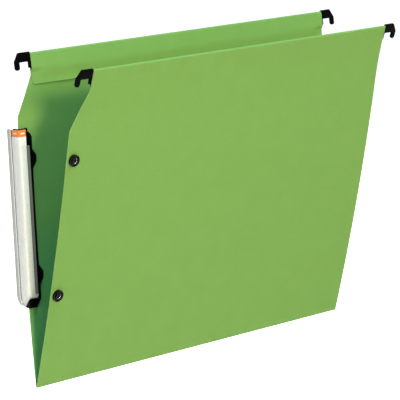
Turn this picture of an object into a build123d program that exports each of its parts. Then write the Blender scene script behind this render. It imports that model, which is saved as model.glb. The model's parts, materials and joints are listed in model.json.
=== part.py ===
"""Hanging file folder for a side-opening cabinet.

One card sheet is folded into a V. Each top edge is turned over a steel rail whose ends carry
moulded hooks, press studs link the folder to its neighbours, and a clear label holder wraps one
side edge. X runs along the rails, Y across the V and Z up. The origin lies in the middle of the
four hook seats. Everything is drawn on the back panel, and the front panel's pieces are mirrored.
"""
from build123d import *
import math
import os

# Card sheet
card = 0.4                  # thickness of the kraft card
panel_length = 255.3        # crease to top edge, along the card
crease_tilt = 10.95         # degrees between the foot of a panel and the vertical
bow_radius = 2120.0         # outward bulge of a panel
flare_drop = 45.0           # top edge to the place where the panel starts to flare outwards
flare_radius = 277.0
crease_gap = 0.15           # card left free on each side of the crease line
wing = 15.6                 # extra width below the shoulder, on the label side
hem_drop = 16.6             # top edge to the start of the shoulder
shoulder_drop = 47.0        # top edge to the end of the shoulder
shoulder_round = 3.0
flap_taper = 12.4           # height over which the flap leans back to the wall
flap_glue = 0.15            # glue film under the flap's foot

# Rails and hooks
rail_spacing = 330.0        # notch centre to notch centre, the cabinet's rail spacing
rail_thick = 0.8
rail_drop = 11.8            # top edge to the rail's lower edge
rail_end_gap = 0.6          # rail's end to the end of the hem
hook_thick = 1.6
hem_clear = 0.1             # play on each face of rail and hook inside the hem
hook_rise = 0.8             # top edge up to the hook's top
hook_round = 0.8            # rounding of the hook's upper corners
seat_drop = 6.6             # top edge to the notch's seat
notch_width = 9.0
leg_width = 4.2             # outer leg of a hook
leg_drop = 5.8              # seat to the outer leg's foot
left_inner_leg = 1.9        # inner leg that shows beside the hem, on the label side
right_inner_leg = 1.3
inner_leg_drop = 4.9        # seat to the inner leg's foot
inner_leg_round = 0.6
chamfer_out = 4.2           # slanted outer corner of a hook
chamfer_drop = 6.6
seat_round = 0.5
tongue_length = 24.0        # hook inside the hem, lapped on the rail
edge_gap = 0.2              # hook's shoulder to the end of the hem
rivet_radius = 1.5
rivet_clear = 0.05
round_limit_share = 0.48    # largest rounding as a share of the width that carries it

# Press studs
link_drop = 123.7           # top edge to the middle between the studs
stud_pitch = 108.6
stud_inset = 6.4            # card's side edge to the studs
stud_radius = 4.6           # outside of socket and stud flange
socket_height = 2.3
socket_floor = 0.9
socket_bore = 1.95
collar_wall = 0.95          # ring around the bore
collar_height = 2.6
rim_wall = 0.8              # raised outer ring of the socket
groove_floor = 1.1          # bottom of the ring groove, above the card
rim_round = 0.35
spring_wire = 0.25          # radius of the spring's wire
spring_bite = 0.2           # how far the spring stands into the bore
spring_room = 0.06          # play around the spring's wire in its groove
spring_height = 1.75
spring_arc = 320.0          # degrees of the open ring
post_radius = 1.2
post_clear = 0.04
card_hole_clear = 0.15
cap_radius = 4.5
cap_thick = 0.9
cap_round = 0.4
cap_gap = 0.02              # cap's flat face to the bowed card
stud_flange = 0.8
stud_head = 1.85            # radius of the male stud's head
stud_neck = 1.45
stud_neck_length = 0.5
stud_head_length = 0.7
stud_head_round = 0.2
shank_radius = 1.5

# Label holder
label_low = 1.0             # middle of the studs down to the middle of the label
lens_wall = 0.8
lens_rim = 1.3              # clear margin below the insert
lens_side_rim = 3.0         # wider margin along the lens's back edge
lens_right_rim = 1.8        # margin along the inner side
lens_front = 9.4            # width of the face beside the panel
lens_side = 14.45           # width of the face that looks along the rails
lens_top_step = 0.6         # base's top down to the lens's top
lens_foot_step = 0.8        # base's foot up to the lens's foot
lens_foot_round = 8.4
lens_slope = 6.0            # width over which the foot rises to the front face
lens_slope_height = 8.45
thumb_height = 12.5         # thumb cut-out, below the lens's top
thumb_inset = 2.1           # thumb cut-out: lens's front face to its edge on the side face
insert_thick = 0.25
insert_play = 0.2
insert_sink = 0.2           # lens's top down to the insert's top
base_reach = 14.4           # how far the base passes the studs at each end
base_wall = 1.0
base_height = 3.7           # card to the base's face under the insert
base_corner = 0.25          # inner rounding of the base's long corner
base_edge_gap = 0.25        # card's side edge to the base
base_side_inset = 5.2       # lens's back edge to the base's back edge
base_back_round = 5.0
base_foot_round = 8.3
base_top_round = 6.7
flange_width = 5.3          # base to the right of the lens
flange_thick = 1.2
flange_top_step = 2.3       # base's top down to the flange's top
ear_inset = 9.65            # how far the ears lie inside the stud pitch at each end
ear_reach = 3.7
ear_root = 14.9
ear_tip = 4.8
ear_round = 1.9
label_rivet_inset = 0.8     # flange's edge back to the rivets
label_rivet_radius = 1.0
label_rivet_head = 1.9
label_rivet_head_height = 0.7
label_rivet_round = 0.4

overrun = 2.0               # how far a cutting tool passes the surface

# Places worked out from the sizes
flare_station = panel_length - flare_drop
fold_tilt = math.radians(crease_tilt)
flare_tilt = fold_tilt - flare_station / bow_radius
seat_station = panel_length - seat_drop
link_station = panel_length - link_drop
label_station = link_station - label_low
hem_gap = hook_thick + 2 * hem_clear
left_notch_out = notch_width / 2 + left_inner_leg + edge_gap
right_notch_out = notch_width / 2 + right_inner_leg + edge_gap
hem_left = left_notch_out - rail_spacing / 2
hem_right = rail_spacing / 2 - right_notch_out
hem_width = hem_right - hem_left
side_edge = hem_left - wing
rail_top_drop = hem_gap / 2 + card
fold_station = panel_length - rail_top_drop
slot_depth = insert_thick + 2 * insert_play
lens_depth = lens_wall + slot_depth
lens_corner = base_corner + base_wall + lens_depth
lens_face = base_height + lens_depth
lens_left = -base_edge_gap - base_wall - lens_depth
lens_right = lens_left + lens_front
side_end = lens_face - lens_side
flange_right = lens_right + flange_width
base_half = stud_pitch / 2 + base_reach
lens_top = base_half - lens_top_step
lens_foot = base_half - lens_foot_step
lens_front_top = lens_top - thumb_height
lens_front_foot = lens_foot - lens_slope_height
insert_top = lens_top - insert_sink
ear_pitch = stud_pitch - 2 * ear_inset


def tilt(station):
    """Angle between the back panel and the vertical at a height along the card."""
    if station > flare_station:
        return flare_tilt + (station - flare_station) / flare_radius
    return fold_tilt - station / bow_radius


def arc_place(station, inward):
    """Y and height above the crease of a point on the bowed and flared back panel."""
    turn = tilt(station)
    bow_end = tilt(min(station, flare_station))
    y = bow_radius * (math.cos(bow_end) - math.cos(fold_tilt))
    height = bow_radius * (math.sin(fold_tilt) - math.sin(bow_end))
    if station > flare_station:
        y += flare_radius * (math.cos(flare_tilt) - math.cos(turn))
        height += flare_radius * (math.sin(turn) - math.sin(flare_tilt))
    return y - inward * math.cos(turn), height + inward * math.sin(turn)


crease_z = -arc_place(seat_station, hem_clear + hook_thick / 2)[1]


def on_panel(x, station, inward):
    """Point at a height along the back panel, measured inwards from its inner face."""
    y, height = arc_place(station, inward)
    return Vector(x, y, height + crease_z)


def panel_frame(x, station, inward=0):
    """Frame on the back panel: x along the rails, y up the panel, z inwards."""
    inwards = (0, -math.cos(tilt(station)), math.sin(tilt(station)))
    return Plane(origin=on_panel(x, station, inward), x_dir=(1, 0, 0), z_dir=inwards)


def outer_frame(x, station):
    """Frame on the outer face of the back panel, with z pointing out."""
    inner = panel_frame(x, station, -card)
    return Plane(origin=inner.origin, x_dir=(1, 0, 0), z_dir=-inner.z_dir)


def panel_arc(x, low, high, inward):
    """Arc up the back panel at one depth."""
    stations = (low, (low + high) / 2, high)
    return ThreePointArc(*[on_panel(x, station, inward) for station in stations])


def along_rails(edges, width):
    """Solid of a profile drawn across the rails."""
    return extrude(make_face(edges), amount=width, dir=(1, 0, 0))


def polygon(points):
    """Flat face from its corners."""
    return make_face(Polyline(*points, close=True))


def round_corner(face, place, radius):
    """Rounds the corner of a flat face that lies nearest to a place."""
    nearest = min(face.vertices(), key=lambda corner: (Vector(corner) - Vector(*place)).length)
    return fillet(nearest, radius)


def turned(points):
    """Solid of revolution about Z from radius and height pairs."""
    return revolve(polygon([(radius, 0, height) for radius, height in points]), Axis.Z)


def rod(radius, low, high):
    """Round rod along Z."""
    return extrude(Circle(radius), amount=high - low).moved(Location((0, 0, low)))


def hem():
    """Card turned over the rail in a round fold, and the flap that is glued to the wall below it."""
    bend = panel_length - rail_drop - hem_clear
    inside = [(fold_station, hem_gap), (bend, hem_gap), (bend - flap_taper, flap_glue)]
    outside = [(station, inward + card) for station, inward in reversed(inside)]
    flap = Polyline(*[on_panel(hem_left, *place) for place in inside + outside])
    middle = hem_gap / 2
    wall_inside = on_panel(hem_left, fold_station, 0)
    wall_outside = on_panel(hem_left, fold_station, -card)
    inner_fold = ThreePointArc(wall_inside, on_panel(hem_left, panel_length - card, middle), flap @ 0)
    outer_fold = ThreePointArc(flap @ 1, on_panel(hem_left, panel_length, middle), wall_outside)
    return along_rails([inner_fold, flap, outer_fold, Line(wall_outside, wall_inside)], hem_width)


def wall_outline():
    """Prism of the card wall's outline, with the wing and its sloping shoulder on one side."""
    right = hem_width + overrun
    rise = shoulder_drop - hem_drop
    corners = [
        (-wing, -panel_length),
        (right, -panel_length),
        (right, shoulder_drop),
        (0, shoulder_drop),
        (0, rise),
        (-wing, 0),
    ]
    outline = round_corner(polygon(corners), (-wing, 0), shoulder_round)
    depth = panel_length ** 2 / bow_radius + flare_drop ** 2 / flare_radius
    prism = extrude(outline, amount=depth, both=True)
    return panel_frame(hem_left, panel_length - shoulder_drop) * prism


def wall():
    """Bowed and flared card wall from the crease to the fold."""
    left = side_edge - overrun
    edges = [
        Line(on_panel(left, fold_station, 0), on_panel(left, fold_station, -card)),
        Line(on_panel(left, crease_gap, -card), on_panel(left, crease_gap, 0)),
    ]
    for inward in (0, -card):
        edges.append(panel_arc(left, crease_gap, flare_station, inward))
        edges.append(panel_arc(left, flare_station, fold_station, inward))
    return along_rails(edges, hem_right - left) & wall_outline()


def card_panel(holes):
    """Back panel with its hem and round holes, given as frame and radius."""
    panel = wall() + hem()
    for frame, radius in holes:
        panel -= frame * rod(radius, -card - overrun, overrun)
    return panel


def hem_frame(x):
    """Frame at seat height, on the face of the hooks next to the card wall."""
    return panel_frame(x, seat_station, hem_clear)


def notch_out(side):
    """Distance from the end of the hem to the notch centre."""
    return left_notch_out if side < 0 else right_notch_out


def hook_rod(side, radius, low, high):
    """Round rod through the middle of the lap between a hook and the rail."""
    x = side * (rail_spacing / 2 - notch_out(side) - tongue_length / 2)
    height = seat_drop - (rail_drop + rail_top_drop) / 2
    return hem_frame(x) * rod(radius, low, high).moved(Location((0, height, 0)))


def rivet_hole(side):
    """Hole for a hook's rivet."""
    return hook_rod(side, rivet_radius + rivet_clear, -overrun, hook_thick + overrun)


def rail():
    """Flat steel strip inside the hem."""
    length = hem_width - 2 * rail_end_gap
    strip = Box(length, rail_drop - rail_top_drop, rail_thick, align=Align.MIN)
    strip = strip.moved(Location((0, seat_drop - rail_drop, hook_thick - rail_thick)))
    strip = hem_frame(hem_left + rail_end_gap) * strip
    for side in (-1, 1):
        strip -= rivet_hole(side)
    return strip


def hook(side):
    """Moulded hook: outer leg, notch and inner leg, with a thin tongue on the rail."""
    half = notch_width / 2
    top = seat_drop + hook_rise
    outside = half + leg_width
    shoulder = edge_gap - notch_out(side)
    upper_corners = [(shoulder, top), (outside - chamfer_out, top), (outside, top - chamfer_drop)]
    plate = polygon(upper_corners + [
        (outside, -leg_drop),
        (half, -leg_drop),
        (half, 0),
        (-half, 0),
        (-half, -inner_leg_drop),
        (shoulder, -inner_leg_drop),
    ])
    for place in ((outside, -leg_drop), (half, -leg_drop)):
        plate = round_corner(plate, place, leg_width * round_limit_share)
    for place in ((half, 0), (-half, 0)):
        plate = round_corner(plate, place, seat_round)
    for place in upper_corners:
        plate = round_corner(plate, place, hook_round)
    inner_leg = left_inner_leg if side < 0 else right_inner_leg
    foot_round = min(inner_leg_round, inner_leg * round_limit_share)
    plate = round_corner(plate, (-half, -inner_leg_drop), foot_round)
    end = -notch_out(side) - tongue_length
    low = seat_drop - rail_drop
    high = seat_drop - rail_top_drop
    tongue = polygon([(shoulder, low), (shoulder, high), (end, high), (end, low)])
    solid = extrude(plate, amount=hook_thick) + extrude(tongue, amount=hook_thick - rail_thick)
    if side < 0:
        solid = mirror(solid, about=Plane.YZ)
    return hem_frame(side * rail_spacing / 2) * solid - rivet_hole(side)


def hook_rivet(side):
    """Flush rivet through the tongue and the rail."""
    return hook_rod(side, rivet_radius, 0, hook_thick)


def stud_places(frame_maker):
    """Upper and lower stud frames."""
    x = side_edge + stud_inset
    stations = {"upper": link_station + stud_pitch / 2, "lower": link_station - stud_pitch / 2}
    return {name: frame_maker(x, station) for name, station in stations.items()}


def socket(frame):
    """Female press stud: raised rim, ring groove and a collar around the bore."""
    collar = socket_bore + collar_wall
    rim = stud_radius - rim_wall
    body = turned([
        (post_radius + post_clear, 0),
        (stud_radius, 0),
        (stud_radius, socket_height),
        (rim, socket_height),
        (rim, groove_floor),
        (collar, groove_floor),
        (collar, collar_height),
        (socket_bore, collar_height),
        (socket_bore, socket_floor),
        (post_radius + post_clear, socket_floor),
    ])
    inside = socket_bore + collar_wall / 2
    low = (groove_floor + socket_height) / 2
    circles = body.edges().filter_by(GeomType.CIRCLE)
    rounded = [edge for edge in circles if edge.radius > inside and edge.center().Z > low]
    body = fillet(rounded, min(rim_round, rim_wall * round_limit_share))
    return frame * (body - spring_ring(spring_wire + spring_room, 360))


def spring_ring(wire, arc):
    """Ring of round wire at the spring's place, over part of a turn."""
    place = (socket_bore - spring_bite + spring_wire, 0, spring_height)
    section = Plane(origin=place, x_dir=(1, 0, 0), z_dir=(0, -1, 0)) * Circle(wire)
    return revolve(section, Axis.Z, revolution_arc=arc)


def socket_spring(frame):
    """Open spring ring that grips the next folder's stud."""
    return frame * spring_ring(spring_wire, spring_arc)


def socket_cap(frame):
    """Inner cap whose post holds the socket through the card."""
    seat = -card - cap_gap
    disc = fillet(rod(cap_radius, seat - cap_thick, seat).edges().sort_by(Axis.Z)[0], cap_round)
    return frame * (disc + rod(post_radius, seat, socket_floor))


def male_stud(frame):
    """Male press stud whose shank is pressed through the card into the label base."""
    neck_top = stud_flange + stud_neck_length
    head_top = neck_top + stud_head_length
    flange = fillet(rod(stud_radius, 0, stud_flange).edges().sort_by(Axis.Z)[-1], rim_round)
    head = rod(stud_head, neck_top, head_top)
    head = chamfer(head.edges().filter_by(GeomType.CIRCLE), stud_head_round)
    shank = rod(shank_radius, -card - flange_thick / 2, 0)
    return frame * (flange + rod(stud_neck, stud_flange, neck_top) + head + shank)


def corner_band(near, far, right_margin, side_margin):
    """Strip of the bent label section between two depths below the lens's outer face."""
    right = lens_right - right_margin
    end = side_end + side_margin
    band = polygon([
        (right, 0, lens_face - near),
        (lens_left + near, 0, lens_face - near),
        (lens_left + near, 0, end),
        (lens_left + far, 0, end),
        (lens_left + far, 0, lens_face - far),
        (right, 0, lens_face - far),
    ])
    for depth in (near, far):
        place = (lens_left + depth, 0, lens_face - depth)
        band = round_corner(band, place, lens_corner - depth)
    return band


def up_label(section, foot, top):
    """Solid of a label section from below to above the label's middle."""
    return extrude(section, amount=foot + top, dir=(0, 1, 0)).moved(Location((0, -foot, 0)))


def side_outline(side_margin, foot_margin, top):
    """Prism of the label's outline seen from the side: rounded foot, then a slope to the front."""
    end = side_end + side_margin
    foot = foot_margin - lens_foot
    front_foot = foot_margin - lens_front_foot
    far = lens_face + overrun
    outline = polygon([
        (0, top, end),
        (0, foot, end),
        (0, foot, lens_face - lens_slope),
        (0, front_foot, lens_face),
        (0, front_foot, far),
        (0, top, far),
    ])
    foot_round = min(lens_foot_round, lens_side - lens_slope)
    outline = round_corner(outline, (0, foot, end), foot_round - side_margin)
    return extrude(outline, amount=lens_front + overrun, dir=(1, 0, 0), both=True)


def label_frame():
    """Frame in the middle of the label: x from the card's side edge, y up, z inwards."""
    return panel_frame(side_edge, label_station)


def label_lens():
    """Clear cover with a slot for the insert and a thumb cut-out at the top."""
    slot_top = lens_top + overrun
    body = up_label(corner_band(0, lens_depth, 0, 0), lens_foot, lens_top) & side_outline(0, 0, lens_top)
    slot_section = corner_band(lens_wall, lens_depth, lens_right_rim, lens_side_rim)
    body -= up_label(slot_section, lens_foot, slot_top) & side_outline(lens_side_rim, lens_rim, slot_top)
    thumb = Box(lens_front + overrun, thumb_height + overrun, thumb_inset + overrun, align=Align.MIN)
    body -= thumb.moved(Location((lens_left - overrun, lens_front_top, lens_face - thumb_inset)))
    return label_frame() * body


def label_insert():
    """Bent paper strip that slides out of the top."""
    near = lens_wall + insert_play
    side_margin = lens_side_rim + insert_play
    section = corner_band(near, near + insert_thick, lens_right_rim + insert_play, side_margin)
    outline = side_outline(side_margin, lens_rim + insert_play, insert_top)
    return label_frame() * (up_label(section, lens_foot, insert_top) & outline)


def ear(height):
    """Outline of a bell-shaped ear of the label base."""
    root = ear_root / 2
    tip = ear_tip / 2
    reach = flange_right + ear_reach
    outline = polygon([
        (flange_right - overrun, height - root),
        (flange_right, height - root),
        (reach, height - tip),
        (reach, height + tip),
        (flange_right, height + root),
        (flange_right - overrun, height + root),
    ])
    for place in ((reach, height - tip), (reach, height + tip)):
        outline = round_corner(outline, place, ear_round)
    return outline


def base_outline():
    """Outline of the label base seen from the panel's inside, without its ears."""
    left = lens_left + lens_depth
    top = base_half - flange_top_step
    outline = polygon([
        (left, -base_half),
        (flange_right, -base_half),
        (flange_right, top),
        (left, top),
    ])
    outline = round_corner(outline, (flange_right, -base_half), base_foot_round)
    return round_corner(outline, (flange_right, top), base_top_round)


def base_box():
    """Bent plate behind the insert and the wall that carries its inner edge."""
    plate = corner_band(lens_depth, lens_depth + base_wall, 0, base_side_inset)
    wall_left = lens_right - base_wall
    carrier = polygon([
        (wall_left, 0, 0),
        (lens_right, 0, 0),
        (lens_right, 0, base_height),
        (wall_left, 0, base_height),
    ])
    body = up_label(plate + carrier, base_half, base_half)
    back = side_end + base_side_inset
    side = polygon([
        (0, -base_half, back),
        (0, base_half, back),
        (0, base_half, lens_face),
        (0, -base_half, lens_face),
    ])
    side = round_corner(side, (0, -base_half, back), base_back_round)
    return body & extrude(side, amount=flange_right + lens_front, dir=(1, 0, 0), both=True)


def card_layer(margin, near, far):
    """Sheet that follows the bowed card, between two inward depths, from a margin past its edge."""
    left = side_edge - margin
    low = label_station - base_half - overrun
    high = label_station + base_half + overrun
    edges = [
        panel_arc(left, low, high, near),
        Line(on_panel(left, high, near), on_panel(left, high, far)),
        panel_arc(left, low, high, far),
        Line(on_panel(left, low, far), on_panel(left, low, near)),
    ]
    return along_rails(edges, margin + flange_right + ear_reach + overrun)


def label_base():
    """Black carrier: bent plate behind the insert, flange and ears on the card."""
    foot = base_outline()
    for height in (-ear_pitch / 2, ear_pitch / 2):
        foot += ear(height)
    foot = label_frame() * extrude(foot, amount=lens_side, both=True)
    body = label_frame() * base_box() - card_layer(0, -base_height, 0)
    body += foot & card_layer(lens_front, 0, flange_thick)
    for frame in stud_places(panel_frame).values():
        body -= frame * rod(shank_radius + rivet_clear, -overrun, flange_thick / 2 + rivet_clear)
    for frame in label_rivet_frames().values():
        body -= frame * rod(label_rivet_radius + rivet_clear, -overrun, flange_thick + overrun)
    return body


def label_rivet_frames():
    """Frames of the two rivets in the ears."""
    x = side_edge + flange_right - label_rivet_inset
    stations = {"upper": label_station + ear_pitch / 2, "lower": label_station - ear_pitch / 2}
    return {name: panel_frame(x, station) for name, station in stations.items()}


def label_rivet(frame):
    """Rivet through an ear and the card, with a rounded head on each face."""
    ear_top = flange_thick + rivet_clear
    head = rod(label_rivet_head, ear_top, ear_top + label_rivet_head_height)
    head = fillet(head.edges().sort_by(Axis.Z)[-1], label_rivet_round)
    tail = rod(label_rivet_head, -card - label_rivet_head_height, -card)
    tail = fillet(tail.edges().sort_by(Axis.Z)[0], label_rivet_round)
    return frame * (head + rod(label_rivet_radius, -card, ear_top) + tail)


def to_front(solid):
    """Mirror image on the front panel."""
    return mirror(solid, about=Plane.XZ)


def all_pieces():
    """Every piece of the folder by name."""
    inner_studs = stud_places(panel_frame)
    outer_studs = stud_places(outer_frame)
    rivets = label_rivet_frames()
    post_holes = [(frame, post_radius + card_hole_clear) for frame in inner_studs.values()]
    shank_holes = [(frame, shank_radius + card_hole_clear) for frame in inner_studs.values()]
    ear_holes = [(frame, label_rivet_radius + card_hole_clear) for frame in rivets.values()]
    pieces = {
        "back_panel": card_panel(shank_holes + ear_holes),
        "front_panel": to_front(card_panel(post_holes)),
        "back_rail": rail(),
        "front_rail": to_front(rail()),
    }
    for name, side in (("left", -1), ("right", 1)):
        pieces[f"back_{name}_hook"] = hook(side)
        pieces[f"front_{name}_hook"] = to_front(hook(side))
        pieces[f"back_{name}_hook_rivet"] = hook_rivet(side)
        pieces[f"front_{name}_hook_rivet"] = to_front(hook_rivet(side))
    for name, frame in outer_studs.items():
        pieces[f"{name}_socket"] = to_front(socket(frame))
        pieces[f"{name}_socket_cap"] = to_front(socket_cap(frame))
        pieces[f"{name}_socket_spring"] = to_front(socket_spring(frame))
        pieces[f"{name}_stud"] = male_stud(frame)
    pieces["label_base"] = label_base()
    pieces["label_lens"] = label_lens()
    pieces["label_insert"] = label_insert()
    for name, frame in rivets.items():
        pieces[f"{name}_label_rivet"] = label_rivet(frame)
    return pieces


os.makedirs("parts", exist_ok=True)
for node, shape in all_pieces().items():
    export_step(shape, f"parts/{node}.step")
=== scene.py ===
"""Looks of the hanging file folder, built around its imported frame.

The card is rebuilt as one folded sheet that bends at the crease. Hooks, studs and label holder
keep their CAD shapes and get procedural materials.
"""
import json
import math

import bpy
from mathutils import Matrix, Vector


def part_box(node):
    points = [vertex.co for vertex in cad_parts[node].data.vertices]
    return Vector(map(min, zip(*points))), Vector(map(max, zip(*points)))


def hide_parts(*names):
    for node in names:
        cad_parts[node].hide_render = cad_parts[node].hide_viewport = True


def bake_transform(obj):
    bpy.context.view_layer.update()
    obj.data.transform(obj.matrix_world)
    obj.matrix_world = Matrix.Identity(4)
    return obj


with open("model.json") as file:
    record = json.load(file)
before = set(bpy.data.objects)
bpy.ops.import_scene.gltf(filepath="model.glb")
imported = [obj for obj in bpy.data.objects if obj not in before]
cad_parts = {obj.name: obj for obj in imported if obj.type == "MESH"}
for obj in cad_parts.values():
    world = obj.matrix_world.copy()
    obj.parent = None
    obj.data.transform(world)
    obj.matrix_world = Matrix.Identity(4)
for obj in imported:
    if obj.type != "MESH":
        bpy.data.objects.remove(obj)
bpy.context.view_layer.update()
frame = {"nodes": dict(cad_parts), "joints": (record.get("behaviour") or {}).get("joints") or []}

# Card sheet, in metres, as in the CAD source
card = 0.0004
panel_length = 0.2553       # crease to top edge, along the card
crease_tilt = math.radians(10.95)
bow_radius = 2.12           # outward bulge of a panel
flare_drop = 0.045          # top edge to the place where the panel starts to flare outwards
flare_radius = 0.277
hem_gap = 0.0018            # inside width of the fold around the rail
hem_drop = 0.0166           # top edge to the start of the shoulder
shoulder_drop = 0.047       # top edge to the end of the shoulder
shoulder_round = 0.003
wing = 0.0156               # extra width below the shoulder
rail_drop = 0.0119          # top edge to the end of the flap's straight part
flap_taper = 0.0124         # height over which the flap leans back to the wall
flap_glue = 0.00015         # glue film under the flap's foot
flap_lift = 0.0008          # how far the flap's foot springs off the wall between its ends
flap_lift_power = 3         # the larger, the nearer to the foot the lift sets in
flap_lift_run = 0.04        # hem's end to the place of the full lift
flap_pinch = 0.003          # height below the rail over which the flap's ends close
flap_pinch_run = 0.012      # hem's end to the place where the flap is open again
flap_inset = 0.0006         # hem's end to the end of the flap's foot
flap_round = 0.0022         # rounded corners of the flap's foot
crease_inside = 0.00005     # inner rounding of the crease
crease_reach = 0.0008       # half width across the V of the stretch that bends
sharp_angle = math.radians(40)      # the sheet's edges above this angle stay sharp

# Mesh density of the card sheet
columns = 84
wall_rows = 64
fold_rows = 9
flap_rows = 12
crease_rows = 9
shoulder_rows = 8

# Camera, fitted to the photograph
photo_width = 400
focal_pixels = 2434.2
sensor_width = 36
camera_azimuth = math.radians(-44.382)
camera_elevation = math.radians(14.932)
camera_roll = math.radians(2.444)
camera_distance = 1.93777
target_right = 0.150335     # end of the hem to the place that the camera looks at
target_rise = 0.122575      # crease up to that place

# Light
key_azimuth = math.radians(-11.5)
key_elevation = math.radians(26.5)
key_distance = 2.2
key_size = 0.5
key_power = 27.9
key_color = (1.0, 0.865, 0.58)
top_azimuth = math.radians(-20)
top_elevation = math.radians(78)
top_distance = 1.5
top_size = 0.8
top_power = 23
top_color = (0.39, 0.69, 1.0)
side_azimuth = math.radians(-88)
side_elevation = math.radians(5)
side_distance = 2.0
side_size = 0.3
side_power = 15.5
side_color = (1.0, 0.97, 0.96)
back_azimuth = math.radians(165)
back_elevation = math.radians(20)
back_distance = 2.0
back_size = 1.2
back_power = 30
back_color = (1.0, 0.97, 0.92)
ambient = 0.06
ambient_color = (0.6, 0.8, 1.0, 1)
floor_drop = 0.53           # hook seats to the floor, clear of the panel that swings down
floor_size = 12.0
floor_glow = 1.0
floor_roughness = 0.9

# Softened edges of the CAD pieces
weld_distance = 0.000001
hook_edge = 0.0003
stud_edge = 0.00025
base_edge = 0.0002
lens_edge = 0.0002
rail_edge = 0.0001
paper_edge = 0.00002
edge_segments = 3
edge_angle = math.radians(35)       # edges above this angle are softened

# Look of the card. A noise is its grains to the metre and its levels of detail
card_roughness = 0.82
card_specular = 0.16
card_relief = 0.00006
cloud_noise = (70, 3)
pulp_noise = (1500, 4)
fibre_noise = (900, 2)
fibre_stretch = (0.16, 1, 1)
cloud_share = 0.35          # clouds in the pulp's pattern
pulp_share = 0.65           # fine grain in it
pulp_stops = (0.34, 0.5, 0.66)
dark_fleck_stops = (0.22, 0.34)
dark_fleck_share = 0.6
pale_fleck_stops = (0.68, 0.8)
contact_shade_reach = 0.0025      # painted shade: card within this reach of the card beside it is darker
contact_shade_stops = (0.55, 0.94)
inside_shade_reach = 0.042        # painted cool shade: card within this reach of the other panel is cooler
inside_shade_stops = (0.55, 0.95)
cut_roughness = 0.9
cut_specular = 0.1
cut_noise = (2500, 2)
cut_stops = (0.35, 0.65)

# Look of the black pieces
nylon_roughness = 0.5
nylon_specular = 0.02
nylon_noise = (2600, 3)
nylon_relief = 0.00002
lacquer_roughness = 0.1
lacquer_specular = 0.15
lacquer_noise = (1500, 3)
lacquer_relief = 0.000005
plastic_roughness = 0.42
plastic_specular = 0.05
plastic_noise = (2000, 3)
plastic_relief = 0.000005
gloss_swing = 0.06          # how far the grain moves the roughness up and down
gloss_stops = (0.3, 0.7)

# Look of the steel pieces
rolled_roughness = (0.22, 0.42)
drawn_roughness = (0.08, 0.14)
steel_specular = 0.5
steel_noise = (700, 3)
steel_stretch = (0.05, 1, 1)
steel_stops = (0.3, 0.7)

# Lens of the label
lens_roughness = 0.2
lens_specular = 0.2
lens_right_rim = 0.0022     # denser margin of the lens along its inner side
lens_back_rim = 0.0043      # denser margin along its back edge
lens_rim_soft = 0.0004      # how far these margins fade on each side of their line
lens_rim_shade = 0.0013     # width over which their painted shade gets darker towards the edge
lens_foot_rim = 0.0013      # denser margin along its foot
lens_foot_round = 0.0054    # rounded corner of the slot between these two margins
lens_slope = 0.006          # width over which the foot rises to the narrow face
lens_slope_height = 0.00845
lens_lean_share = 1.4       # how far the lens is shaded as if turned to the label side
slot_end_cosine = 0.7       # faces turned this far to the narrow face are the slot's end wall
lower_end_cosine = -0.3     # faces turned this far down are the lower end
fresnel_blend = 0.35
clear_cover_share = 0.05    # how much the clear window hides, seen straight on
glance_cover_share = 0.2    # what it hides more at a glancing angle
back_cover_share = 0.85
right_cover_share = 0.78
lip_cover_share = 0.75
most_cover_share = 0.95

# Paper of the label and its print
paper_roughness = 0.85
paper_specular = 0.15
paper_noise = (400, 3)
paper_stops = (0.35, 0.65)
paper_lean_share = 0.4      # how far the paper is shaded as if turned to the label side
back_lean_share = -0.47     # how far the paper's wide face is turned inwards at its back edge
front_lean_share = 0.05     # the same at the ridge
band_height = 0.0053
bar_height = 0.0011
bar_width = 0.0036

# Places taken from the frame
joints = {joint["name"]: joint for joint in frame["joints"]}
crease_z = joints["crease"]["pos_m"][2]
side_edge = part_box("back_panel")[0].x
hem_left = side_edge + wing
hem_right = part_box("back_panel")[1].x
camera_target = Vector((hem_left + target_right, 0, crease_z + target_rise))
right_way = Vector((1, 0, 0))
up_way = Vector((0, 0, 1))

# Heights along the card
flare_station = panel_length - flare_drop
flare_tilt = crease_tilt - flare_station / bow_radius
fold_station = panel_length - hem_gap / 2 - card
slope_top = panel_length - hem_drop
slope_foot = panel_length - shoulder_drop
slope_slant = math.atan2(wing, slope_top - slope_foot)
corner_reach = shoulder_round * math.tan(slope_slant / 2)
corner_foot = slope_foot - corner_reach
corner_top = slope_foot + corner_reach * math.cos(slope_slant)

# Sockets of a node that mixes colours
mix_inputs = (0, 6, 7)      # share, first colour, second colour
mix_result = 2


# Shape of the panels

def panel_tilt(station):
    """Angle between the back panel and the vertical at a height along the card."""
    if station > flare_station:
        return flare_tilt + (station - flare_station) / flare_radius
    return crease_tilt - station / bow_radius


def arc_place(station, inward):
    """Y and Z of a point at a height along the back panel, measured inwards from its inner face."""
    turn = panel_tilt(station)
    bow_end = panel_tilt(min(station, flare_station))
    y = bow_radius * (math.cos(bow_end) - math.cos(crease_tilt))
    z = crease_z + bow_radius * (math.sin(crease_tilt) - math.sin(bow_end))
    if station > flare_station:
        y += flare_radius * (math.cos(flare_tilt) - math.cos(turn))
        z += flare_radius * (math.sin(turn) - math.sin(flare_tilt))
    return y - inward * math.cos(turn), z + inward * math.sin(turn)


def shares(count):
    """Evenly spaced shares from 0 to 1."""
    return [index / count for index in range(count + 1)]


def smooth(share):
    """Share from 0 to 1 that starts and ends gently."""
    share = min(1, max(0, share))
    return share * share * (3 - 2 * share)


def mesh_object(name, points, faces, materials):
    """New object from points and faces, with its first material on every face."""
    mesh = bpy.data.meshes.new(name)
    mesh.from_pydata(points, [], faces)
    mesh.validate()
    for material in materials:
        mesh.materials.append(material)
    piece = bpy.data.objects.new(name, mesh)
    bpy.context.scene.collection.objects.link(piece)
    return piece


# Card sheet

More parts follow.
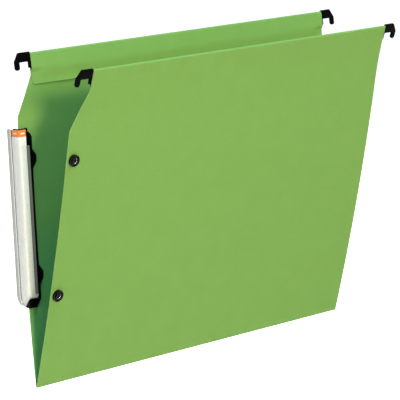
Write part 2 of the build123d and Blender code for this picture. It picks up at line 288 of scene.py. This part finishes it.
def left_side(station):
    """Left end of the card wall at a height: hem, sloping shoulder with a rounded corner, wing."""
    if station >= slope_top:
        return hem_left
    if station <= corner_foot:
        return side_edge
    if station >= corner_top:
        return side_edge + (station - slope_foot) * math.tan(slope_slant)
    rise = station - corner_foot
    return side_edge + shoulder_round - math.sqrt(shoulder_round ** 2 - rise ** 2)


def wall_stations():
    """Heights of the wall's rows, with closer rows at the shoulder's corner and the crease."""
    even = [fold_station * share for share in shares(wall_rows)[1:]]
    corner = [corner_foot + (corner_top - corner_foot) * share for share in shares(shoulder_rows)]
    near_crease = [crease_reach * share for share in shares(crease_rows)[1:]]
    return sorted(set(even + corner + near_crease + [slope_top]))


def wall_section():
    """Rows of the wall: inner point, outer point, left end, right end, lift and pinch."""
    return [
        (arc_place(station, 0), arc_place(station, -card), left_side(station), hem_right, 0, 0)
        for station in wall_stations()
    ]


def fold_section():
    """Rows of the round fold over the rail."""
    rows = []
    middle = hem_gap / 2
    for share in shares(fold_rows)[1:]:
        turn = math.pi * share
        inside, outside = [
            arc_place(fold_station + radius * math.sin(turn), middle - radius * math.cos(turn))
            for radius in (middle, middle + card)
        ]
        rows.append((inside, outside, hem_left, hem_right, 0, 0))
    return rows


def flap_inset_at(above_foot):
    """How far the flap's ends lie inside the hem's ends, with rounded corners at the foot."""
    if above_foot >= flap_round:
        return flap_inset * (1 - above_foot / flap_taper)
    rise = flap_round - above_foot
    return flap_inset + flap_round - math.sqrt(flap_round ** 2 - rise ** 2)


def flap_section():
    """Rows of the flap from the fold down past the rail to its glued foot."""
    bend = panel_length - rail_drop
    foot = bend - flap_taper
    places = []
    for share in shares(flap_rows)[1:]:
        places.append((fold_station + (bend - fold_station) * share, hem_gap, 0, 0, 0))
    heights = [flap_taper * share for share in shares(flap_rows)[:-1]]
    heights += [flap_round * share for share in shares(flap_rows)]
    for above_foot in sorted(set(heights), reverse=True):
        share = 1 - above_foot / flap_taper
        inward = hem_gap + (flap_glue - hem_gap) * smooth(share)
        lift = flap_lift * share ** flap_lift_power
        pinch = (inward - flap_glue) * smooth((flap_taper - above_foot) / flap_pinch)
        places.append((foot + above_foot, inward, flap_inset_at(above_foot), lift, pinch))
    rows = []
    for station, inward, inset, lift, pinch in places:
        inside = arc_place(station, inward)
        outside = arc_place(station, inward + card)
        rows.append((inside, outside, hem_left + inset, hem_right - inset, lift, pinch))
    return rows


def crease_section():
    """Rows of the sharp bend at the bottom, from the back panel round to the front panel."""
    rows = []
    start = -panel_tilt(0)
    for share in shares(crease_rows):
        turn = start + (-math.pi - 2 * start) * share
        inside, outside = [
            (radius * math.cos(turn), crease_z + radius * math.sin(turn))
            for radius in (crease_inside, card)
        ]
        rows.append((inside, outside, side_edge, hem_right, 0, 0))
    return rows


def card_rows():
    """Rows of the whole sheet, from the front flap's foot over the crease to the back flap's foot."""
    back = wall_section() + fold_section() + flap_section()
    front = []
    for inside, outside, *rest in back:
        front.append(((-inside[0], inside[1]), (-outside[0], outside[1]), *rest))
    return front[::-1] + crease_section()[::-1] + back


def from_ends(x, run):
    """Share that grows from 0 at the hem's ends to 1 after a run along the rails."""
    return smooth(min(x - hem_left, hem_right - x) / run)


def sheet_points(rows):
    """Points of every row, on the inner side and then on the outer side, from left to right."""
    points = []
    for inside, outside, left, right, lift, pinch in rows:
        across_y = (outside[0] - inside[0]) / card
        across_z = (outside[1] - inside[1]) / card
        for y, z in (inside, outside):
            for share in shares(columns):
                x = left + (right - left) * share
                shift = lift * from_ends(x, flap_lift_run) - pinch * (1 - from_ends(x, flap_pinch_run))
                points.append((x, y + shift * across_y, z + shift * across_z))
    return points


def sheet_face(*corners):
    """Face between (row, side, column) corners, where side 0 is the inner one."""
    return [(2 * row + side) * (columns + 1) + column for row, side, column in corners]


def surface_faces(row_count):
    """Faces of the card's inner and outer side."""
    faces = []
    for row in range(row_count - 1):
        for side in (0, 1):
            for column in range(columns):
                face = sheet_face((row, side, column), (row, side, column + 1),
                                  (row + 1, side, column + 1), (row + 1, side, column))
                faces.append(face if side == 0 else face[::-1])
    return faces


def cut_faces(row_count):
    """Faces of the cut edges: both sides, then the feet of both flaps."""
    faces = []
    end = columns
    for row in range(row_count - 1):
        after = row + 1
        faces.append(sheet_face((row, 0, 0), (after, 0, 0), (after, 1, 0), (row, 1, 0)))
        faces.append(sheet_face((row, 0, end), (row, 1, end), (after, 1, end), (after, 0, end)))
    last = row_count - 1
    for column in range(columns):
        after = column + 1
        faces.append(sheet_face((0, 0, column), (0, 1, column), (0, 1, after), (0, 0, after)))
        faces.append(sheet_face((last, 0, column), (last, 0, after), (last, 1, after), (last, 1, column)))
    return faces


def card_sheet():
    """One folded card sheet with both faces and its cut edges."""
    rows = card_rows()
    surface = surface_faces(len(rows))
    cut = cut_faces(len(rows))
    materials = [card_material(), card_edge_material()]
    sheet = mesh_object("card_sheet", sheet_points(rows), surface + cut, materials)
    for polygon in sheet.data.polygons:
        polygon.use_smooth = True
        polygon.material_index = 0 if polygon.index < len(surface) else 1
    sheet.data.set_sharp_from_angle(angle=sharp_angle)
    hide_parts("back_panel", "front_panel")
    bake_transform(sheet)


# Colours

def linear(red, green, blue):
    """Screen colour from 0 to 255 as a linear colour, by the standard curve of screens."""
    def channel(value):
        share = value / 255
        return share / 12.92 if share <= 0.04045 else ((share + 0.055) / 1.055) ** 2.4
    return channel(red), channel(green), channel(blue), 1


white = (1, 1, 1, 1)
black = (0, 0, 0, 1)
card_color = linear(137, 182, 92)
card_dark = linear(134, 179, 89)
card_light = linear(140, 185, 95)
dark_fleck_tint = (0.86, 0.89, 0.82, 1)
pale_fleck_glow = (0.02, 0.02, 0.015, 1)
# painted shade where card lies close to card, as under the flap's foot
contact_shade_tint = (0.06, 0.34, 0.42, 1)
# painted cool shade deep inside the fold
inside_shade_tint = (0.8, 1.1, 1.46, 1)
cut_color = linear(160, 198, 120)
cut_dark = linear(146, 188, 104)
cut_light = linear(176, 210, 138)
nylon_black = linear(5, 5, 5)
lacquer_black = linear(4, 4, 5)
rolled_color = linear(178, 178, 180)
drawn_color = linear(240, 240, 236)
lens_color = linear(205, 208, 190)
# painted shade of the lens's rims, darker towards its edges
rim_shade_color = linear(150, 153, 140)
lip_color = linear(240, 239, 226)
paper_color = linear(249, 247, 236)
paper_shade = linear(244, 241, 229)
band_color = linear(252, 140, 62)
floor_color = linear(245, 245, 245)


# Nodes of a material or of the world

def new_material(name, color, roughness, specular):
    """Material with its shader, ready for more nodes."""
    material = bpy.data.materials.new(name)
    material.use_nodes = True
    shader = material.node_tree.nodes["Principled BSDF"]
    shader.inputs["Base Color"].default_value = color
    shader.inputs["Roughness"].default_value = roughness
    shader.inputs["Specular IOR Level"].default_value = specular
    return material, shader


def link(material, source, target):
    """Leads one node's result to another node."""
    material.node_tree.links.new(source, target)


def feed(material, target, value):
    """Gives a node's input a result of another node or a plain value."""
    if isinstance(value, bpy.types.NodeSocket):
        link(material, value, target)
    else:
        target.default_value = value


def calculate(material, operation, *values):
    """Sum, product or test of numbers and sockets."""
    node = material.node_tree.nodes.new("ShaderNodeMath")
    node.operation = operation
    for socket, value in zip(node.inputs, values):
        feed(material, socket, value)
    return node.outputs[0]


def vector_math(material, operation, *values):
    """Node for an operation on vectors, which are sockets or plain."""
    node = material.node_tree.nodes.new("ShaderNodeVectorMath")
    node.operation = operation
    for socket, value in zip(node.inputs, values):
        feed(material, socket, value)
    return node


def mix(material, share, first, second, blend="MIX"):
    """Mix of two colour sockets or plain colours."""
    node = material.node_tree.nodes.new("ShaderNodeMix")
    node.data_type = "RGBA"
    node.blend_type = blend
    for place, value in zip(mix_inputs, (share, first, second)):
        feed(material, node.inputs[place], value)
    return node.outputs[mix_result]


def between(material, value, ends, results):
    """Value that runs from one result to another between two ends."""
    node = material.node_tree.nodes.new("ShaderNodeMapRange")
    for name, number in zip(("From Min", "From Max", "To Min", "To Max"), (*ends, *results)):
        node.inputs[name].default_value = number
    link(material, value, node.inputs["Value"])
    return node.outputs["Result"]


def ramp(material, value, stops, colors):
    """Colour that follows a value from stop to stop."""
    node = material.node_tree.nodes.new("ShaderNodeValToRGB")
    elements = node.color_ramp.elements
    while len(elements) < len(stops):
        elements.new(1)
    for element, position, color in zip(elements, stops, colors):
        element.position = position
        element.color = color
    link(material, value, node.inputs["Fac"])
    return node.outputs["Color"]


def place_on_piece(material, stretch=(1, 1, 1)):
    """Coordinates fixed to the piece, stretched along its axes."""
    nodes = material.node_tree.nodes
    coordinates = nodes.new("ShaderNodeTexCoord")
    mapping = nodes.new("ShaderNodeMapping")
    mapping.inputs["Scale"].default_value = stretch
    link(material, coordinates.outputs["Object"], mapping.inputs["Vector"])
    return mapping.outputs["Vector"]


def along(material, way):
    """Coordinate of the piece along a direction."""
    return vector_math(material, "DOT_PRODUCT", place_on_piece(material), way).outputs["Value"]


def facing(material, way):
    """Cosine between the surface's normal and a direction."""
    geometry = material.node_tree.nodes.new("ShaderNodeNewGeometry")
    return vector_math(material, "DOT_PRODUCT", geometry.outputs["Normal"], way).outputs["Value"]


def noise(material, kind, stretch=(1, 1, 1)):
    """Value of a noise, which is given by its grains to the metre and its levels of detail."""
    grains, detail = kind
    texture = material.node_tree.nodes.new("ShaderNodeTexNoise")
    texture.inputs["Scale"].default_value = grains
    texture.inputs["Detail"].default_value = detail
    link(material, place_on_piece(material, stretch), texture.inputs["Vector"])
    return texture.outputs["Fac"]


def roughen(material, shader, height, depth):
    """Fine relief of this depth in metres."""
    bump = material.node_tree.nodes.new("ShaderNodeBump")
    bump.inputs["Distance"].default_value = depth
    link(material, height, bump.inputs["Height"])
    link(material, bump.outputs["Normal"], shader.inputs["Normal"])


def lean(material, shader, leans):
    """Shades a surface as if it were bowed, turned by a share towards each direction."""
    geometry = material.node_tree.nodes.new("ShaderNodeNewGeometry")
    normal = geometry.outputs["Normal"]
    for way, share in leans:
        turn = vector_math(material, "SCALE", way)
        feed(material, turn.inputs["Scale"], share)
        normal = vector_math(material, "ADD", normal, turn.outputs["Vector"]).outputs["Vector"]
    normal = vector_math(material, "NORMALIZE", normal).outputs["Vector"]
    link(material, normal, shader.inputs["Normal"])


def paint_shade_near(material, color, reach, stops, tint):
    """Colour with painted shade: a tint where the same piece lies within reach."""
    nearby = material.node_tree.nodes.new("ShaderNodeAmbientOcclusion")
    nearby.only_local = True
    nearby.inputs["Distance"].default_value = reach
    tints = ramp(material, nearby.outputs["AO"], stops, (tint, white))
    return mix(material, 1, color, tints, "MULTIPLY")


# Materials

def card_material():
    """Dyed kraft card: cloudy pulp, short fibres along the sheet and a few pale and dark flecks, with
    painted shade where card lies close to card and painted cool shade deep inside the fold.
    """
    material, shader = new_material("green_card", card_color, card_roughness, card_specular)
    clouds = noise(material, cloud_noise)
    grain = noise(material, pulp_noise)
    fibres = noise(material, fibre_noise, fibre_stretch)
    cloudy = calculate(material, "MULTIPLY", clouds, cloud_share)
    pulp = calculate(material, "MULTIPLY_ADD", grain, pulp_share, cloudy)
    color = ramp(material, pulp, pulp_stops, (card_dark, card_color, card_light))
    dark_flecks = ramp(material, fibres, dark_fleck_stops, (dark_fleck_tint, white))
    color = mix(material, dark_fleck_share, color, dark_flecks, "MULTIPLY")
    pale_flecks = ramp(material, fibres, pale_fleck_stops, (black, pale_fleck_glow))
    color = mix(material, 1, color, pale_flecks, "ADD")
    # painted shade under the flap's foot and where card lies close to card
    color = paint_shade_near(material, color, contact_shade_reach, contact_shade_stops, contact_shade_tint)
    # painted cool shade deep inside the fold
    color = paint_shade_near(material, color, inside_shade_reach, inside_shade_stops, inside_shade_tint)
    link(material, color, shader.inputs["Base Color"])
    roughen(material, shader, calculate(material, "ADD", grain, fibres), card_relief)
    return material


def card_edge_material():
    """Cut edge of the card, paler than its faces."""
    material, shader = new_material("card_edge", cut_color, cut_roughness, cut_specular)
    color = ramp(material, noise(material, cut_noise), cut_stops, (cut_dark, cut_light))
    link(material, color, shader.inputs["Base Color"])
    return material


def black_material(name, color, roughness, specular, kind, relief):
    """Black plastic or lacquer with a fine grain."""
    material, shader = new_material(name, color, roughness, specular)
    grain = noise(material, kind)
    gloss = between(material, grain, gloss_stops, (roughness - gloss_swing, roughness + gloss_swing))
    link(material, gloss, shader.inputs["Roughness"])
    roughen(material, shader, grain, relief)
    return material


def steel_material(name, color, roughness):
    """Bright steel with fine lines along it, between a smooth and a rough side."""
    material, shader = new_material(name, color, roughness[0], steel_specular)
    shader.inputs["Metallic"].default_value = 1
    lines = noise(material, steel_noise, steel_stretch)
    link(material, between(material, lines, steel_stops, roughness), shader.inputs["Roughness"])
    return material


def label_directions():
    """Directions up the label and from the card towards its narrow face."""
    up = Vector(joints["label_pull"]["axis"])
    return up, Vector((0, -up.z, up.y))


def reach_of(name, way):
    """Lowest and highest coordinate of a CAD node along a direction."""
    places = [vertex.co.dot(way) for vertex in frame["nodes"][name].data.vertices]
    return min(places), max(places)


def past_slot_corner(material, depth, height, back, foot):
    """Distance from the middle of the slot's rounded corner, counted towards the back and the foot."""
    past_back = calculate(material, "SUBTRACT", back + lens_back_rim + lens_foot_round, depth)
    past_foot = calculate(material, "SUBTRACT", foot + lens_foot_rim + lens_foot_round, height)
    past_back = calculate(material, "MAXIMUM", past_back, 0)
    past_foot = calculate(material, "MAXIMUM", past_foot, 0)
    squares = calculate(material, "ADD", calculate(material, "MULTIPLY", past_back, past_back),
                        calculate(material, "MULTIPLY", past_foot, past_foot))
    return calculate(material, "SQRT", squares)


def lens_lip(material, up, depth, height, front, foot):
    """Socket that is 1 on the lens's lower end and on its sloping foot."""
    slope_low = foot + lens_foot_rim
    slope = between(material, depth, (front - lens_slope, front), (slope_low, slope_low + lens_slope_height))
    end = calculate(material, "LESS_THAN", facing(material, up), lower_end_cosine)
    return calculate(material, "MAXIMUM", end, calculate(material, "LESS_THAN", height, slope))


def lens_cover(material, right_rim, back_rim, lip):
    """How much the lens hides: a little in its window, more at a glancing angle and in its rims and lip."""
    weight = material.node_tree.nodes.new("ShaderNodeLayerWeight")
    weight.inputs["Blend"].default_value = fresnel_blend
    glance = weight.outputs["Fresnel"]
    inside = material.node_tree.nodes.new("ShaderNodeNewGeometry").outputs["Backfacing"]
    cover = calculate(material, "MULTIPLY_ADD", glance, glance_cover_share, clear_cover_share)
    cover = calculate(material, "MULTIPLY_ADD", back_rim, back_cover_share, cover)
    cover = calculate(material, "MULTIPLY", cover, calculate(material, "SUBTRACT", 1, inside))
    cover = calculate(material, "MULTIPLY_ADD", right_rim, right_cover_share, cover)
    cover = calculate(material, "MULTIPLY_ADD", lip, lip_cover_share, cover)
    return calculate(material, "MINIMUM", cover, most_cover_share)


def lens_material():
    """Clear plastic that dulls what lies under it a little, denser in its rims and its foot, with painted
    shade in its rims.
    """
    material, shader = new_material("clear_lens", lens_color, lens_roughness, lens_specular)
    up, inward = label_directions()
    back, front = reach_of("label_lens", inward)
    foot = reach_of("label_lens", up)[0]
    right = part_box("label_lens")[1].x
    depth = along(material, inward)
    height = along(material, up)
    right_rim = calculate(material, "GREATER_THAN", along(material, right_way), right - lens_right_rim)
    past_corner = past_slot_corner(material, depth, height, back, foot)
    soft_ends = (lens_foot_round - lens_rim_soft, lens_foot_round + lens_rim_soft)
    shade_ends = (lens_foot_round, lens_foot_round + lens_rim_shade)
    back_rim = between(material, past_corner, soft_ends, (0, 1))
    rim_shade = between(material, past_corner, shade_ends, (0, 1))
    slot_end = calculate(material, "GREATER_THAN", facing(material, inward), slot_end_cosine)
    back_rim = calculate(material, "MULTIPLY", back_rim, calculate(material, "SUBTRACT", 1, slot_end))
    lip = lens_lip(material, up, depth, height, front, foot)
    # the rims' grey, darker towards the lens's edges, is painted shade
    color = mix(material, calculate(material, "MAXIMUM", right_rim, rim_shade), lens_color, rim_shade_color)
    link(material, mix(material, lip, color, lip_color), shader.inputs["Base Color"])
    link(material, lens_cover(material, right_rim, back_rim, lip), shader.inputs["Alpha"])
    lean(material, shader, [(-right_way, lens_lean_share)])
    return material


def paper_material():
    """White paper label with an orange band at its top and plain white bars on the band."""
    material, shader = new_material("label_paper", paper_color, paper_roughness, paper_specular)
    up, inward = label_directions()
    top = reach_of("label_insert", up)[1]
    back, front = reach_of("label_insert", inward)
    left, right = [corner.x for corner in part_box("label_insert")]
    height = along(material, up)
    depth = along(material, inward)
    band = calculate(material, "GREATER_THAN", height, top - band_height)
    level = calculate(material, "COMPARE", height, top - band_height / 2, bar_height / 2)
    on_narrow = calculate(material, "COMPARE", along(material, right_way), (left + right) / 2, bar_width / 2)
    on_wide = calculate(material, "COMPARE", depth, (back + front) / 2, bar_width / 2)
    bars = calculate(material, "MULTIPLY", level, calculate(material, "MAXIMUM", on_narrow, on_wide))
    orange = calculate(material, "SUBTRACT", band, bars)
    paper = ramp(material, noise(material, paper_noise), paper_stops, (paper_shade, paper_color))
    link(material, mix(material, orange, paper, band_color), shader.inputs["Base Color"])
    inward_lean = between(material, depth, (back, front), (back_lean_share, front_lean_share))
    lean(material, shader, [(-right_way, paper_lean_share), (inward, inward_lean)])
    return material


# Looks of the CAD pieces

def soften(node, edge):
    """Rounds the sharp edges of a CAD node in its looks."""
    for polygon in node.data.polygons:
        polygon.use_smooth = True
    weld = node.modifiers.new("weld", "WELD")
    weld.merge_threshold = weld_distance
    bevel = node.modifiers.new("bevel", "BEVEL")
    bevel.width = edge
    bevel.segments = edge_segments
    bevel.limit_method = "ANGLE"
    bevel.angle_limit = edge_angle
    bevel.harden_normals = True


def dress(material, edge, *endings):
    """Gives every CAD node whose name ends in one of these words a material and softened edges."""
    for name, node in frame["nodes"].items():
        if name.endswith(endings):
            node.data.materials.clear()
            node.data.materials.append(material)
            soften(node, edge)


def dress_cad_nodes():
    """Dresses every CAD node that the card sheet doesn't replace."""
    nylon = black_material("black_nylon", nylon_black, nylon_roughness, nylon_specular,
                           nylon_noise, nylon_relief)
    lacquer = black_material("black_lacquer", lacquer_black, lacquer_roughness, lacquer_specular,
                             lacquer_noise, lacquer_relief)
    plastic = black_material("black_plastic", nylon_black, plastic_roughness, plastic_specular,
                             plastic_noise, plastic_relief)
    dress(steel_material("rolled_steel", rolled_color, rolled_roughness), rail_edge, "_rail", "_hook_rivet")
    dress(steel_material("drawn_steel", drawn_color, drawn_roughness), rail_edge, "_spring")
    dress(nylon, hook_edge, "_hook")
    dress(lacquer, stud_edge, "_socket", "_socket_cap", "_stud")
    dress(plastic, base_edge, "label_base", "_label_rivet")
    dress(lens_material(), lens_edge, "label_lens")
    dress(paper_material(), paper_edge, "label_insert")


# Camera, light and floor

def towards(azimuth, elevation):
    """Unit vector towards a place seen at an azimuth and an elevation."""
    level = math.cos(elevation)
    return Vector((math.sin(azimuth) * level, -math.cos(azimuth) * level, math.sin(elevation)))


def add_camera():
    """Camera that sees the folder as the photograph does."""
    back = towards(camera_azimuth, camera_elevation)
    right = (-back).cross(up_way).normalized()
    up = back.cross(right)
    turned_right = math.cos(camera_roll) * right + math.sin(camera_roll) * up
    turned_up = math.cos(camera_roll) * up - math.sin(camera_roll) * right
    turn = Matrix((turned_right, turned_up, back)).transposed().to_4x4()
    lens = bpy.data.cameras.new("camera")
    lens.sensor_width = sensor_width
    lens.lens = focal_pixels * sensor_width / photo_width
    lens.clip_end = 2 * floor_size
    camera = bpy.data.objects.new("camera", lens)
    camera.matrix_world = Matrix.Translation(camera_target + camera_distance * back) @ turn
    bpy.context.scene.collection.objects.link(camera)
    bpy.context.scene.camera = camera


def add_softbox(name, offset, size, power, color):
    """Square area lamp that looks at the folder from an offset."""
    lamp = bpy.data.lights.new(name, "AREA")
    lamp.size = size
    lamp.energy = power
    lamp.color = color
    softbox = bpy.data.objects.new(name, lamp)
    softbox.location = camera_target + offset
    softbox.rotation_mode = "QUATERNION"
    softbox.rotation_quaternion = (-offset).to_track_quat("-Z", "Y")
    bpy.context.scene.collection.objects.link(softbox)


def seen_directly(material):
    """Socket that is 1 for rays from the camera, a mirror or glass."""
    rays = material.node_tree.nodes.new("ShaderNodeLightPath").outputs
    seen = calculate(material, "MAXIMUM", rays["Is Camera Ray"], rays["Is Glossy Ray"])
    return calculate(material, "MAXIMUM", seen, rays["Is Transmission Ray"])


def light_world():
    """White to look at, dimmer and cooler as light on the object."""
    world = bpy.data.worlds.new("studio")
    world.use_nodes = True
    bpy.context.scene.world = world
    background = world.node_tree.nodes["Background"]
    seen = seen_directly(world)
    link(world, mix(world, seen, ambient_color, white), background.inputs["Color"])
    link(world, between(world, seen, (0, 1), (ambient, 1)), background.inputs["Strength"])


def add_floor():
    """Pale floor below the hanging folder."""
    half = floor_size / 2
    z = -floor_drop
    corners = [(-half, -half, z), (half, -half, z), (half, half, z), (-half, half, z)]
    material, shader = new_material("pale_floor", floor_color, floor_roughness, 0)
    glow = calculate(material, "MULTIPLY", seen_directly(material), floor_glow)
    shader.inputs["Emission Color"].default_value = white
    link(material, glow, shader.inputs["Emission Strength"])
    mesh_object("floor", corners, [(0, 1, 2, 3)], [material])


def light_scene():
    """Four soft lamps around the folder, the world's light and the floor."""
    key = key_distance * towards(key_azimuth, key_elevation)
    top = top_distance * towards(top_azimuth, top_elevation)
    side = side_distance * towards(side_azimuth, side_elevation)
    back = back_distance * towards(back_azimuth, back_elevation)
    add_softbox("key_light", key, key_size, key_power, key_color)
    add_softbox("top_light", top, top_size, top_power, top_color)
    add_softbox("side_light", side, side_size, side_power, side_color)
    add_softbox("back_light", back, back_size, back_power, back_color)
    light_world()
    add_floor()
    bpy.context.scene.view_settings.view_transform = "Standard"


add_camera()
light_scene()
dress_cad_nodes()
card_sheet()
